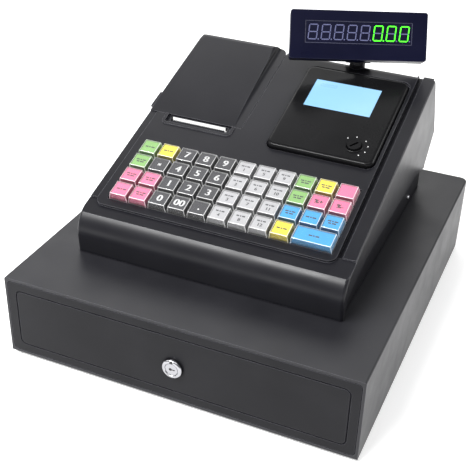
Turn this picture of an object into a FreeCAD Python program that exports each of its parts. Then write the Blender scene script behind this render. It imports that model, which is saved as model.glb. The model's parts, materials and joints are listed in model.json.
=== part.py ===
import FreeCAD, Part
import math
import os
import re

# Cash register on a steel cash drawer cabinet. Millimetres, +Z up, the operator stands at -Y.
# The deck is the sloping top of the register. Parts that lie on it are drawn in the deck's own
# frame: X across, Y up the slope ("up"), Z out of the deck ("out"), and are then placed on it.

Vector = FreeCAD.Vector
Rotation = FreeCAD.Rotation
Placement = FreeCAD.Placement

os.makedirs("parts", exist_ok=True)
doc = FreeCAD.newDocument("cash_register")

DIMENSIONS = {
    # cash drawer cabinet
    "cabinet_width": 335, "cabinet_depth": 370, "cabinet_height": 81, "cabinet_front": -183,
    "cabinet_wall": 1.5, "cabinet_corner": 8, "cabinet_edge_round": 1.6,
    "mouth_edge": 2.5, "mouth_depth": 12, "mouth_corner": 4.6,
    "foot_height": 4, "foot_radius": 9, "foot_inset": 26,
    # slide rails
    "rail_height": 13.5, "rail_bottom": 40, "rail_reach": 8, "rail_wall": 1.5,
    "rail_front": -165, "rail_length": 315,
    # drawer
    "panel_gap": 0.6, "panel_wall": 1.5, "panel_depth": 13,
    "groove_inset": 7.6, "groove_width": 1.4, "groove_depth": 1.2, "groove_corner": 6,
    "pan_half_width": 154, "pan_back": 125, "pan_bottom": 9, "pan_top": 66, "pan_wall": 1.2,
    "pan_front": -160, "runner_gap": 0.7,
    "tray_depth": 256, "tray_top": 62, "tray_wall": 2, "tray_gap": 1.5, "coin_cup_depth": 72,
    # drawer lock
    "lock_height": 41.5, "lock_radius": 7.8, "lock_face_radius": 9.5, "lock_proud": 4,
    "lock_length": 18, "lock_clearance": 0.3, "lock_cam_length": 20, "lock_cam_width": 10,
    "lock_cam_thickness": 2, "lock_joint": 0.2,
    "keyway_depth": 2.5, "keyway_half": 3.5, "keyway_width": 2,
    # register casing
    "casing_width": 257, "casing_centre": -2.5, "casing_wall": 2.5, "casing_round": 3,
    "base_width": 250, "base_wall": 2.5, "base_front": -110, "base_back": 147,
    "post_radius": 3.5, "post_height": 6, "board_thickness": 1.6, "key_board_bottom": -15.2,
    "deck_slope": 17.5, "deck_height": 161, "deck_wall": 3.5,
    "plate_left": -122.5, "plate_right": 109, "plate_front": -104, "plate_corner": 8,
    "rim_drop": 1, "ledge_drop": 2.3, "channel_width": 4.6, "channel_depth": 5,
    "channel_bed_bottom": -9, "channel_bed_back": 154, "channel_bed_wall": 1.5,
    "seam_width": 0.8, "seam_depth": 1.2,
    # keys
    "key_pitch": 19.7, "key_centre_x": -4.25, "key_centre_up": -55.8, "key_base": 18.6,
    "key_top": 15.9, "key_bottom": -1.6, "key_rise": 7.4, "stem_width": 6, "stem_bottom": -9.5,
    "stem_gap": 0.5, "well_floor": -6.5, "well_floor_wall": 1.5, "well_wall": 2, "well_margin": 1,
    # operator display
    "pod_left": 0, "pod_right": 105, "pod_front": 11, "pod_back": 134, "pod_out": 5,
    "pod_seat": 2.2, "pod_corner": 8, "pod_gap": 1, "pod_back_gap": 5, "pod_module": 12,
    "window_left": 15.5, "window_right": 82.5, "window_front": 73.5, "window_back": 114.5,
    "window_depth": 0.8, "pod_round": 3.5, "pod_ledge": 8, "module_inset": 10,
    "switch_x": 81.5, "switch_up": 31, "switch_radius": 6.6, "switch_out": 7.6, "switch_bottom": -8,
    "switch_clearance": 0.3, "switch_slot": 2, "switch_slot_half": 4.6, "switch_slot_depth": 2,
    "switch_angle": -40,
    # receipt printer
    "cover_left": -130.5, "cover_right": -31.5, "cover_front": 28, "cover_wall": 1.8,
    "cover_rise": 6.5, "cover_round": 8, "cover_corner": 18, "cover_hollow": 49, "cover_under": -14,
    "cover_gap": 0.5, "tab_out": 2.5, "tab_front": 34, "tab_back": 56, "step_left": -46,
    "step_right": -38, "step_under": 3,
    "hinge_up": 147, "hinge_out": -2.5, "barrel_end": 20, "barrel_lap": 4, "barrel_radius": 9,
    "barrel_room": 1,
    "hinge_pin": 2, "hinge_clearance": 0.3,
    "hinge_bed_front": 133, "hinge_bed_back": 154, "hinge_bed_bottom": -16, "hinge_bed_top": -2.5,
    "ear_left": -120.5, "ear_right": -49.5, "ear_wall": 2.5, "ear_half": 3.5, "ear_top": 3.6,
    "ear_drop": 12, "relief_gap": 0.6, "relief_start": 3, "relief_top": 5.2,
    "bay_left": -112, "bay_right": -40, "bay_front": 30, "bay_back": 120, "bay_bottom": -12,
    "slot_left": -105, "slot_right": -44.5, "slot_front": 20.3, "slot_back": 26.8,
    "slot_margin": 4, "slot_sink": 1.6, "lip_wall": 3, "lip_height": 1, "lip_corner": 5,
    "roll_radius": 26, "roll_core": 6.5, "roll_width": 57.5, "roll_x": -75, "roll_up": 88,
    "roll_out": -33, "bucket_wall": 2, "bucket_gap": 1.5, "bucket_play": 2, "bucket_top": -6,
    "flange_left": -119, "flange_right": -33.5, "flange_front": 46, "flange_back": 118,
    "flange_bottom": -6.4, "flange_top": -4, "head_front": 31, "head_bottom": -34, "head_top": -11,
    # customer display
    "mast_x": 44.5, "mast_y": 146, "boss_radius": 8, "boss_top": 209, "boss_bottom": 188,
    "mast_radius": 5.5, "mast_clearance": 0.3, "mast_bottom": 176, "tilt_height": 220,
    "display_width": 133.5, "display_height": 47.4, "display_thickness": 18, "display_drop": 11.7,
    "display_back": 14.5, "display_shift": -4.4, "glass_half_width": 52, "glass_low": 15.5,
    "glass_high": 37,
    "glass_depth": 0.8, "display_yaw": 22.5, "display_tilt": 28, "display_corner": 2.5,
    "knuckle_radius": 5, "knuckle_half": 6, "tilt_pin": 2.4, "cheek_gap": 0.4, "cheek_wall": 6,
    "yoke_half": 5, "yoke_bottom": -9.6, "yoke_top": -6,
    "tilt_pin_gap": 0.3, "collar_height": 2.4,
}

sheet = doc.addObject("Spreadsheet::Sheet", "Dimensions")
for row, (alias, value) in enumerate(DIMENSIONS.items(), start=1):
    sheet.set(f"A{row}", alias)
    sheet.set(f"B{row}", str(value))
    sheet.setAlias(f"B{row}", alias)
doc.recompute()


def dim(alias):
    """The value of one driving dimension."""
    return float(sheet.get(alias))


def bind(obj, prop, value):
    """Set a property from a number, or from an expression written with the sheet's aliases."""
    text = re.sub(r"[a-z][a-z_]*", lambda word: "Dimensions." + word.group(0), str(value))
    obj.setExpression(prop, text)


def block(name, x, y, z):
    """A box between two bounds along each axis."""
    obj = doc.addObject("Part::Box", name)
    for prop, axis, (low, high) in (("Length", "x", x), ("Width", "y", y), ("Height", "z", z)):
        bind(obj, prop, f"({high}) - ({low})")
        bind(obj, f"Placement.Base.{axis}", low)
    return obj


TURNS = {"x": Rotation(Vector(0, 1, 0), 90), "y": Rotation(Vector(1, 0, 0), -90), "z": Rotation()}


def rod(name, axis, radius, length, x=0, y=0, z=0):
    """A cylinder that starts at (x, y, z) and runs along +X, +Y or +Z."""
    obj = doc.addObject("Part::Cylinder", name)
    obj.Placement = Placement(Vector(), TURNS[axis])
    bind(obj, "Radius", radius)
    bind(obj, "Height", length)
    for coordinate, value in (("x", x), ("y", y), ("z", z)):
        bind(obj, f"Placement.Base.{coordinate}", value)
    return obj


def fuse(name, *shapes):
    obj = doc.addObject("Part::MultiFuse", name)
    obj.Shapes = list(shapes)
    return obj


def common(name, *shapes):
    obj = doc.addObject("Part::MultiCommon", name)
    obj.Shapes = list(shapes)
    return obj


def cut(name, base, *tools):
    obj = doc.addObject("Part::Cut", name)
    obj.Base = base
    obj.Tool = tools[0] if len(tools) == 1 else fuse(name + "_tools", *tools)
    return obj


def group(name, *shapes):
    """Separate solids that share one node."""
    obj = doc.addObject("Part::Compound", name)
    obj.Links = list(shapes)
    return obj


def on_deck(obj):
    """Lay a boolean or compound drawn in the deck's frame on the deck."""
    obj.Placement = Placement(Vector(), Rotation(Vector(1, 0, 0), dim("deck_slope")))
    bind(obj, "Placement.Base.z", "deck_height")
    return obj


def draw(sketch, start, segments):
    """Closed outline: each segment is (end,) for a line or (middle, end) for an arc."""
    here = Vector(*start, 0)
    for segment in [*segments, (start,)]:
        end = Vector(*segment[-1], 0)
        if (end - here).Length < 1e-6:
            continue
        if len(segment) == 2:
            sketch.addGeometry(Part.Arc(here, Vector(*segment[0], 0), end), False)
        else:
            sketch.addGeometry(Part.LineSegment(here, end), False)
        here = end


def prism(name, plane, start, segments, low, high):
    """Outline drawn on an origin plane and padded between two heights along the plane's normal."""
    body = doc.addObject("PartDesign::Body", name)
    sketch = body.newObject("Sketcher::SketchObject", name + "_outline")
    role = {feature.Role: feature for feature in body.Origin.OriginFeatures}[plane]
    sketch.AttachmentSupport = (role, [""])
    sketch.MapMode = "FlatFace"
    bind(sketch, "AttachmentOffset.Base.z", low)
    draw(sketch, start, segments)
    pad = body.newObject("PartDesign::Pad", name + "_pad")
    pad.Profile = sketch
    bind(pad, "Length", f"({high}) - ({low})")
    doc.recompute()
    return body


def rounded(left, right, front, back, radius):
    """Outline of a rectangle with four round corners."""
    far = radius * (1 - math.sqrt(0.5))
    return (left + radius, front), [
        ((right - radius, front),), ((right - far, front + far), (right, front + radius)),
        ((right, back - radius),), ((right - far, back - far), (right - radius, back)),
        ((left + radius, back),), ((left + far, back - far), (left, back - radius)),
        ((left, front + radius),), ((left + far, front + far), (left + radius, front)),
    ]


def softened(corners):
    """Outline through corners given as (point, radius), each turned by an arc of its radius."""
    segments = []
    count = len(corners)
    for number in range(1, count):
        point, radius = corners[number]
        if not radius:
            segments.append((point,))
            continue
        corner = Vector(*point, 0)
        before = (Vector(*corners[number - 1][0], 0) - corner).normalize()
        after = (Vector(*corners[(number + 1) % count][0], 0) - corner).normalize()
        bisector = (before + after).normalize()
        half = before.getAngle(after) / 2
        start = corner + before * (radius / math.tan(half))
        end = corner + after * (radius / math.tan(half))
        middle = corner + bisector * (radius / math.sin(half) - radius)
        segments += [(tuple(start)[:2],), (tuple(middle)[:2], tuple(end)[:2])]
    return corners[0][0], segments


def rounded_edges(body, radius, wanted):
    """Fillet the edges of a body's last feature whose middle point satisfies wanted."""
    feature = body.Tip
    names = [f"Edge{number}" for number, edge in enumerate(feature.Shape.Edges, start=1)
             if wanted(edge.CenterOfMass)]
    fillet = body.newObject("PartDesign::Fillet", body.Name + "_fillet")
    fillet.Base = (feature, names)
    bind(fillet, "Radius", radius)
    body.Tip = fillet
    doc.recompute()


# Heights between which a cutting tool drawn on the deck passes right through its skin.
BELOW, ABOVE = -20, 20
# Bounds along the deck, as seen from the front, that take in the whole printer cover.
COVER_SPAN = (-170, -20)
NODES = []


def node(obj, label):
    """Name a finished sub-part after the piece it is."""
    obj.Label = label
    NODES.append(obj)
    return obj


# ---------------------------------------------------------------- cash drawer cabinet
CABINET_FRONT = "cabinet_front"
CABINET_BACK = "cabinet_front + cabinet_depth"
CABINET_TOP = "foot_height + cabinet_height"


def make_cabinet():
    half = dim("cabinet_width") / 2
    front = dim("cabinet_front")
    back = front + dim("cabinet_depth")
    corner = dim("cabinet_corner")
    far = corner * (1 - math.sqrt(0.5))
    top = dim("foot_height") + dim("cabinet_height")
    outline = [((half, front),), ((half, back - corner),),
               ((half - far, back - far), (half - corner, back)), ((corner - half, back),),
               ((far - half, back - far), (-half, back - corner))]
    shell = prism("cabinet_shell", "XY_Plane", (-half, front), outline, "foot_height", CABINET_TOP)
    rounded_edges(shell, "cabinet_edge_round",
                  lambda middle: abs(middle.z - top) < 0.01 and middle.y > front + 1)
    cavity = block("cabinet_cavity",
                   ("cabinet_wall - cabinet_width / 2", "cabinet_width / 2 - cabinet_wall"),
                   ("cabinet_front + mouth_depth", CABINET_BACK + " - cabinet_wall"),
                   ("foot_height + cabinet_wall", CABINET_TOP + " - cabinet_wall"))
    edge = dim("mouth_edge")
    start, segments = rounded(edge - half, half - edge, dim("foot_height") + edge, top - edge,
                              dim("mouth_corner"))
    mouth = prism("cabinet_mouth", "XZ_Plane", start, segments,
                  "0 - cabinet_front - mouth_depth - 1", "1 - cabinet_front")
    node(cut("drawer_cabinet_solid", shell, cavity, mouth), "drawer_cabinet")


def make_feet():
    feet = []
    across = dim("cabinet_width") / 2 - dim("foot_inset")
    ends = ("cabinet_front + foot_inset", CABINET_BACK + " - foot_inset")
    for number, (x, y) in enumerate((x, y) for x in (-across, across) for y in ends):
        feet.append(rod(f"foot_{number}", "z", "foot_radius", "foot_height", x, y))
    node(group("feet_group", *feet), "cabinet_feet")


def make_rails():
    rails = []
    inside = "(cabinet_width / 2 - cabinet_wall)"
    along = ("rail_front", "rail_front + rail_length")
    high = ("rail_bottom", "rail_bottom + rail_height")
    for side, sign in (("left", -1), ("right", 1)):
        spans = [(f"{inside} - rail_reach", inside),
                 (f"{inside} - rail_reach - 1", f"{inside} - rail_wall")]
        if sign < 0:
            spans = [(f"0 - ({b})", f"0 - ({a})") for a, b in spans]
        bar = block(f"rail_{side}_bar", spans[0], along, high)
        hollow = block(f"rail_{side}_hollow", spans[1], ("rail_front - 1", along[1] + " + 1"),
                       ("rail_bottom + rail_wall", "rail_bottom + rail_height - rail_wall"))
        rails.append(cut(f"rail_{side}", bar, hollow))
    node(group("rails_group", *rails), "slide_rails")


# ---------------------------------------------------------------- drawer
def make_drawer_front():
    half = dim("cabinet_width") / 2 - dim("mouth_edge") - dim("panel_gap")
    low = dim("foot_height") + dim("mouth_edge") + dim("panel_gap")
    high = dim("foot_height") + dim("cabinet_height") - dim("mouth_edge") - dim("panel_gap")
    corner = dim("mouth_corner") - dim("panel_gap")
    wall = dim("panel_wall")
    front = "0 - cabinet_front"
    start, segments = rounded(-half, half, low, high, corner)
    slab = prism("panel_slab", "XZ_Plane", start, segments, front + " - panel_depth", front)
    start, segments = rounded(wall - half, half - wall, low + wall, high - wall, corner - wall)
    hollow = prism("panel_hollow", "XZ_Plane", start, segments,
                   front + " - panel_depth - 1", front + " - panel_wall - groove_depth")
    inset = dim("groove_inset")
    width = dim("groove_width")
    corner = dim("groove_corner")
    start, segments = rounded(inset - half, half - inset, low + inset, high - inset, corner)
    outer = prism("groove_outer", "XZ_Plane", start, segments, front + " - groove_depth",
                  front + " + 1")
    inset += width
    start, segments = rounded(inset - half, half - inset, low + inset, high - inset,
                              corner - width)
    inner = prism("groove_inner", "XZ_Plane", start, segments, front + " - groove_depth - 1",
                  front + " + 2")
    groove = cut("panel_groove", outer, inner)
    lock_hole = rod("panel_lock_hole", "y", "lock_radius + lock_clearance", 20,
                    0, "cabinet_front - 5", "lock_height")
    node(cut("drawer_front_solid", slab, hollow, groove, lock_hole), "drawer_front")


def make_drawer_box():
    half = "pan_half_width"
    start = "cabinet_front + panel_depth"
    tub = block("pan_tub", (f"0 - {half}", half), (start, "pan_back"), ("pan_bottom", "pan_top"))
    inside = (f"pan_wall - {half}", f"{half} - pan_wall")
    above = ("pan_bottom + pan_wall", "pan_top + 1")
    bay = block("pan_bay", inside, ("pan_front + pan_wall", "pan_back - pan_wall"), above)
    lock_bay = block("pan_lock_bay", inside, (start + " - 1", "pan_front"), above)
    parts = [cut("pan", tub, bay, lock_bay)]
    outer = "cabinet_width / 2 - cabinet_wall - rail_wall - runner_gap"
    bounds = ("rail_bottom + rail_wall + runner_gap",
              "rail_bottom + rail_height - rail_wall - runner_gap")
    along = ("rail_front + 2", "pan_back")
    parts.append(block("runner_right", (half, outer), along, bounds))
    parts.append(block("runner_left", (f"0 - ({outer})", f"0 - {half}"), along, bounds))
    node(fuse("drawer_box_solid", *parts), "drawer_box")


def make_till_tray():
    half = dim("pan_half_width") - dim("pan_wall") - dim("tray_gap")
    front = dim("pan_front") + dim("pan_wall") + dim("tray_gap")
    back = front + dim("tray_depth")
    wall = dim("tray_wall")
    floor = dim("pan_bottom") + dim("pan_wall")
    split = front + wall + dim("coin_cup_depth")
    body = block("tray_block", (-half, half), (front, back), (floor, "tray_top"))
    bays = []
    rows = (("coin", 5, front + wall, split), ("note", 4, split + wall, back - wall))
    for kind, count, low, high in rows:
        width = (2 * half - wall * (count + 1)) / count
        for number in range(count):
            left = -half + wall + number * (width + wall)
            bays.append(block(f"{kind}_bay_{number + 1}", (left, left + width), (low, high),
                              (floor + wall, "tray_top + 1")))
    node(cut("till_tray_solid", body, *bays), "till_tray")


def make_lock():
    face = rod("lock_face", "y", "lock_face_radius", "lock_proud - lock_clearance",
               0, "cabinet_front - lock_proud", "lock_height")
    barrel = rod("lock_barrel", "y", "lock_radius", "lock_length + lock_clearance + lock_joint",
                 0, "cabinet_front - lock_clearance - lock_joint", "lock_height")
    cam = block("lock_cam", ("0 - lock_cam_width / 2", "lock_cam_width / 2"),
                ("cabinet_front + lock_length - lock_cam_thickness", "cabinet_front + lock_length"),
                ("lock_height - lock_cam_width / 2", "lock_height + lock_cam_length"))
    keyway = block("lock_keyway", ("0 - keyway_width / 2", "keyway_width / 2"),
                   ("cabinet_front - lock_proud - 1", "cabinet_front - lock_proud + keyway_depth"),
                   ("lock_height - keyway_half", "lock_height + keyway_half"))
    node(cut("drawer_lock_solid", fuse("lock_body", face, barrel, cam), keyway), "drawer_lock")


# ---------------------------------------------------------------- register casing
BOARD_CORNERS = ((-104, -74), (84, -74), (-104, 46), (84, 46))


def make_base_casing():
    low = dim("foot_height") + dim("cabinet_height")
    front, back = dim("base_front"), dim("base_back")
    outline = [((back, low),), ((back, 109.5),), ((106, 120),), ((-60, 120),),
               ((-95, 112),), ((front, 104),)]
    half = "base_width / 2"
    hull = prism("base_hull", "YZ_Plane", (front, low), outline,
                 f"casing_centre - {half}", f"casing_centre + {half}")
    inner = "base_width / 2 - base_wall"
    hollow = block("base_hollow", (f"casing_centre - ({inner})", f"casing_centre + {inner}"),
                   ("base_front + base_wall", "base_back - base_wall"),
                   (low + dim("base_wall"), 130))
    tub = cut("base_tub", hull, hollow)
    posts = [rod(f"board_post_{number}", "z", "post_radius", "post_height", x, y,
                 low + dim("base_wall"))
             for number, (x, y) in enumerate(BOARD_CORNERS)]
    node(fuse("base_casing_solid", tub, *posts), "base_casing")


# Side views of the upper casing as corners (depth, height) with the radius each is turned by:
# front, deck, back and the undercut behind the base. The skirt is cut away under its side edges.
CASING_OUTSIDE = (((-117, 85.6), 0), ((-120.6, 122.97), 26), ((147.2, 207.4), 9),
                  ((161.5, 178), 60), ((181.2, 135.4), 3), ((150, 106), 0), ((150, 85.6), 0))
CASING_INSIDE = (((-114.5, 80), 0), ((-117.8, 120.2), 24), ((146.3, 203.5), 3.5),
                 ((159.2, 176.9), 0), ((177.6, 135.6), 0), ((148.4, 109), 0), ((148.4, 80), 0))
CASING_SKIRT = (((-113.9, 80), 0), ((-113.9, 86), 0), ((-109.5, 102), 0), ((-92, 109), 0),
                ((-60, 116), 0), ((108, 116), 0), ((150.1, 105.9), 0), ((150.1, 80), 0))


def key_place(row, column):
    """Centre of a key on the deck: row 0 is the far row, column 0 the left one."""
    x = dim("key_centre_x") + (column - 5) * dim("key_pitch")
    up = dim("key_centre_up") + (1.5 - row) * dim("key_pitch")
    return x, up


def well_bounds():
    reach = dim("key_base") / 2 + dim("well_margin")
    left, back = key_place(0, 0)
    right, front = key_place(3, 10)
    return (left - reach, right + reach), (front - reach, back + reach)


def make_well_block():
    """The tray under the keys, moulded with the casing: walls, and a floor the stems run in."""
    (left, right), (front, back) = well_bounds()
    wall = dim("well_wall")
    body = block("well_block", (left - wall, right + wall), (front - wall, back + wall),
                 ("well_floor - well_floor_wall", "0 - deck_wall / 2"))
    return on_deck(group("well_on_deck", body))


def make_hinge_block():
    """Solid bed across the back of the printer opening, hollowed later for the cover's barrel."""
    body = block("hinge_block", ("cover_left + cover_gap", "cover_right + 3"),
                 ("hinge_bed_front", "hinge_bed_back"), ("hinge_bed_bottom", "hinge_bed_top"))
    return on_deck(group("hinge_bed_on_deck", body))


def make_channel_bed():
    """Solid rib under the channel on the right, deep enough to cut it in."""
    rib = block("channel_rib",
                ("plate_right - channel_bed_wall",
                 "casing_centre + casing_width / 2 - casing_wall + 0.5"),
                ("plate_front + plate_corner - channel_bed_wall", "channel_bed_back"),
                ("channel_bed_bottom", "0 - deck_wall / 2"))
    return on_deck(group("channel_bed_on_deck", rib))


def rim_cutters():
    """Lower rim, front ledge and channel around the keyboard and display plate."""
    left, right = dim("plate_left"), dim("plate_right")
    front, corner = dim("plate_front"), dim("plate_corner")
    seam = dim("seam_width")
    start, segments = rounded(left, right, front, 190, corner)
    plate = prism("plate_outline", "XY_Plane", start, segments, BELOW, ABOVE)
    start, segments = rounded(left - seam, right + seam, front - seam, 200, corner + seam)
    ring = prism("seam_outline", "XY_Plane", start, segments, "0 - seam_depth", 9)
    groove = block("channel", ("plate_right", "plate_right + channel_width"),
                   ("plate_front + plate_corner", 200), ("0 - channel_depth", 9))
    edge = dim("casing_width")
    rim = block("rim_slab", (-edge, edge), ("plate_front", 200), ("0 - rim_drop", 10))
    ledge = block("ledge_slab", (-edge, edge), (-125, "plate_front + plate_corner"),
                  ("0 - ledge_drop", 10))
    return cut("rim_tool", fuse("rim_slabs", ring, groove, rim, ledge), plate)


def key_cutters():
    (left, right), (front, back) = well_bounds()
    tools = [block("key_well", (left, right), (front, back), ("well_floor", 10))]
    reach = dim("stem_width") / 2 + dim("stem_gap")
    for label, row, column, span in KEYS:
        x, up = key_place(row, column)
        x += (span - 1) * dim("key_pitch") / 2
        tools.append(block("stem_hole_" + label, (x - reach, x + reach), (up - reach, up + reach),
                           ("well_floor - well_floor_wall - 1", 1)))
    return tools


def pod_cutters():
    gap = dim("pod_gap")
    start, segments = rounded(dim("pod_left") - gap, dim("pod_right") + gap,
                              dim("pod_front") - gap, dim("pod_back") + dim("pod_back_gap"),
                              dim("pod_corner") + gap)
    seat = prism("pod_seat_tool", "XY_Plane", start, segments, "0 - pod_seat", 10)
    opening = block("pod_opening", ("pod_left + pod_ledge", "pod_right - pod_ledge"),
                    ("pod_front + pod_ledge + 1", "pod_back - pod_ledge - 1"), (-9, 1))
    return [seat, opening]


def printer_cutters():
    recess = block("cover_recess", ("cover_left - 8", "cover_right + cover_gap"),
                   ("cover_front - cover_gap", 165), ("0 - cover_wall - 0.2", 20))
    bay = block("printer_bay", ("bay_left", "bay_right"), ("bay_front", "bay_back"),
                ("bay_bottom", 5))
    slot = block("receipt_slot", ("slot_left", "slot_right"), ("slot_front", "slot_back"),
                 ("bay_bottom", 5))
    slot_recess = block("slot_recess", ("slot_left - slot_margin", "slot_right + slot_margin"),
                        ("slot_front - slot_margin", "cover_front"), ("0 - slot_sink", 5))
    barrel = rod("barrel_room_tool", "x", "barrel_radius + barrel_room",
                 "cover_right - cover_left + 3.5", "cover_left - 3", "hinge_up", "hinge_out")
    return [recess, bay, slot, slot_recess, barrel]


def slot_lip():
    """Raised U-shaped edge round the front of the receipt slot."""
    back = dim("cover_front") - dim("cover_gap")
    forms = []
    for name, wall, low, high in (("lip_outer", dim("lip_wall"), -1, "lip_height"),
                                  ("lip_inner", 0, -2, "lip_height + 1")):
        reach = dim("slot_margin") + wall
        radius = dim("lip_corner") - dim("lip_wall") + wall
        left, right = dim("slot_left") - reach, dim("slot_right") + reach
        front = dim("slot_front") - reach
        outline = softened([((left, back), 0), ((left, front), radius),
                            ((right, front), radius), ((right, back), 0)])
        forms.append(prism(name, "XY_Plane", *outline, low, high))
    return cut("slot_lip", *forms)


def hinge_ears():
    ears = []
    for side in ("ear_left", "ear_right"):
        plate = block(side + "_plate", (side, side + " + ear_wall"),
                      ("hinge_up - ear_half", "hinge_up + ear_half"),
                      ("hinge_out - ear_drop", "hinge_out + ear_top"))
        hole = rod(side + "_hole", "x", "hinge_pin + hinge_clearance", 10,
                   side + " - 3", "hinge_up", "hinge_out")
        ears.append(cut(side + "_solid", plate, hole))
    return ears


def ear_reliefs():
    """Slots in the cover's barrel that let it swing past the hinge ears."""
    return [block(side + "_relief", (side + " - relief_gap", side + " + ear_wall + relief_gap"),
                  ("hinge_up + relief_start", "hinge_up + barrel_radius + 1"),
                  ("hinge_bed_bottom", "hinge_out + relief_top"))
            for side in ("ear_left", "ear_right")]


def make_top_casing():
    half = "casing_width / 2"
    outer = prism("casing_outer", "YZ_Plane", *softened(CASING_OUTSIDE),
                  f"casing_centre - {half}", f"casing_centre + {half}")
    reach = dim("casing_width") / 2
    centre = dim("casing_centre")
    rounded_edges(outer, "casing_round",
                  lambda middle: abs(abs(middle.x - centre) - reach) < 0.01
                  and (middle.y < 0 or middle.z > 140) and middle.z > 86)
    inner = "casing_width / 2 - casing_wall"
    hollow = prism("casing_hollow", "YZ_Plane", *softened(CASING_INSIDE),
                   f"casing_centre - ({inner})", f"casing_centre + {inner}")
    skirt = prism("casing_skirt_tool", "YZ_Plane", *softened(CASING_SKIRT), -200, 200)
    shell = cut("casing_shell", outer, hollow, skirt)
    boss = rod("mast_boss", "z", "boss_radius", "boss_top - boss_bottom",
               "mast_x", "mast_y", "boss_bottom")
    body = fuse("casing_body", shell, make_well_block(), make_hinge_block(),
                make_channel_bed(), boss)
    tools = [rim_cutters(), *key_cutters(), *pod_cutters(), *printer_cutters()]
    deck_tools = on_deck(fuse("deck_tools", *tools))
    mast_hole = rod("mast_hole", "z", "mast_radius + mast_clearance", 60, "mast_x", "mast_y", 160)
    carved = cut("casing_carved", body, deck_tools, mast_hole)
    additions = on_deck(fuse("deck_additions", slot_lip(), *hinge_ears()))
    node(fuse("top_casing_solid", carved, additions), "top_casing")


# What stands on the main board: span across, span in depth, height above the board's underside.
BOARD_PARTS = {
    "main_transformer": ((40, 84), (0, 40), 36),
    "main_heat_sink": ((-100, -60), (-70, -50), 18),
    "main_connector": ((-20, 20), (40, 50), 12),
}


def make_circuit_boards():
    low = dim("foot_height") + dim("cabinet_height") + dim("base_wall") + dim("post_height")
    parts = [block("main_board", (-110, 90), (-80, 52), (low, low + dim("board_thickness")))]
    for label, (across, depth, height) in BOARD_PARTS.items():
        parts.append(block(label, across, depth, (low + 1, low + height)))
    main = fuse("main_board_assembly", *parts)
    (left, right), (front, back) = well_bounds()
    key_board = block("key_board", (left, right), (front, back),
                      ("key_board_bottom", "key_board_bottom + board_thickness"))
    node(group("boards_group", main, on_deck(group("key_board_on_deck", key_board))),
         "circuit_boards")


# ---------------------------------------------------------------- operator display
def make_display_panel():
    start, segments = rounded(dim("pod_left"), dim("pod_right"), dim("pod_front"),
                              dim("pod_back"), dim("pod_corner"))
    plate = prism("pod_plate", "XY_Plane", start, segments, "0.1 - pod_seat", "pod_out")
    out = dim("pod_out")
    rounded_edges(plate, "pod_round", lambda middle: abs(middle.z - out) < 0.01)
    module = block("pod_module", ("pod_left + module_inset", "pod_right - module_inset"),
                   ("pod_front + module_inset + 1", "pod_back - module_inset - 1"),
                   ("0 - pod_module", 0))
    window = block("pod_window", ("window_left", "window_right"),
                   ("window_front", "window_back"), ("pod_out - window_depth", 10))
    hole = rod("pod_switch_hole", "z", "switch_radius + switch_clearance", ABOVE - BELOW,
               "switch_x", "switch_up", BELOW)
    solid = cut("display_panel_solid", fuse("pod_body", plate, module), window, hole)
    node(on_deck(solid), "display_panel")


def make_mode_switch():
    rotor = rod("switch_rotor", "z", "switch_radius", "switch_out - switch_bottom",
                0, 0, "switch_bottom")
    slot = block("switch_slot", ("0 - switch_slot / 2", "switch_slot / 2"),
                 ("0 - switch_slot_half", "switch_slot_half"),
                 ("switch_out - switch_slot_depth", ABOVE))
    rotor = cut("switch_turned", rotor, slot)
    rotor.Placement = Placement(Vector(dim("switch_x"), dim("switch_up"), 0),
                                Rotation(Vector(0, 0, 1), dim("switch_angle")))
    node(on_deck(group("mode_switch_solid", rotor)), "mode_switch")


# ---------------------------------------------------------------- receipt printer
def make_printer_mechanism():
    wall = dim("bucket_wall")
    half = dim("roll_width") / 2 + dim("bucket_gap")
    x = dim("roll_x")
    up = dim("roll_up")
    reach = dim("roll_radius") + dim("bucket_play")
    floor = dim("roll_out") - dim("roll_radius") - dim("bucket_play") / 2
    inside = (x - half, x + half)
    outside = (x - half - wall, x + half + wall)
    bucket = block("bucket", outside, (up - reach - wall, up + reach + wall),
                   (floor - wall, "bucket_top"))
    head = block("printer_head", outside, ("head_front", up - reach - wall),
                 ("head_bottom", "head_top"))
    flange = block("printer_flange", ("flange_left", "flange_right"),
                   ("flange_front", "flange_back"), ("flange_bottom", "flange_top"))
    solid = fuse("printer_frame", bucket, head, flange)
    hollow = block("bucket_hollow", inside, (up - reach, up + reach), (floor, 5))
    flange_opening = block("flange_opening", inside, ("flange_front - 6", up),
                           ("flange_bottom", 5))
    node(on_deck(cut("printer_solid", solid, hollow, flange_opening)), "printer_mechanism")


def make_paper_roll():
    start = "roll_x - roll_width / 2"
    paper = rod("roll_paper", "x", "roll_radius", "roll_width", start, "roll_up", "roll_out")
    core = rod("roll_core_hole", "x", "roll_core", "roll_width + 2", start + " - 1",
               "roll_up", "roll_out")
    node(on_deck(cut("paper_roll_solid", paper, core)), "paper_roll")


def s_curve(near, far):
    """Two arcs that leave level and arrive level, from one point to another."""
    run, rise = far[0] - near[0], far[1] - near[1]
    radius = (run * run + rise * rise) / (4 * abs(rise))
    half_angle = math.asin(abs(run) / (2 * radius)) / 2
    across = math.copysign(radius * math.sin(half_angle), run)
    climb = math.copysign(radius * (1 - math.cos(half_angle)), rise)
    middle = ((near[0] + far[0]) / 2, (near[1] + far[1]) / 2)
    return [((near[0] + across, near[1] + climb), middle),
            ((far[0] - across, far[1] - climb), far)]


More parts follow.
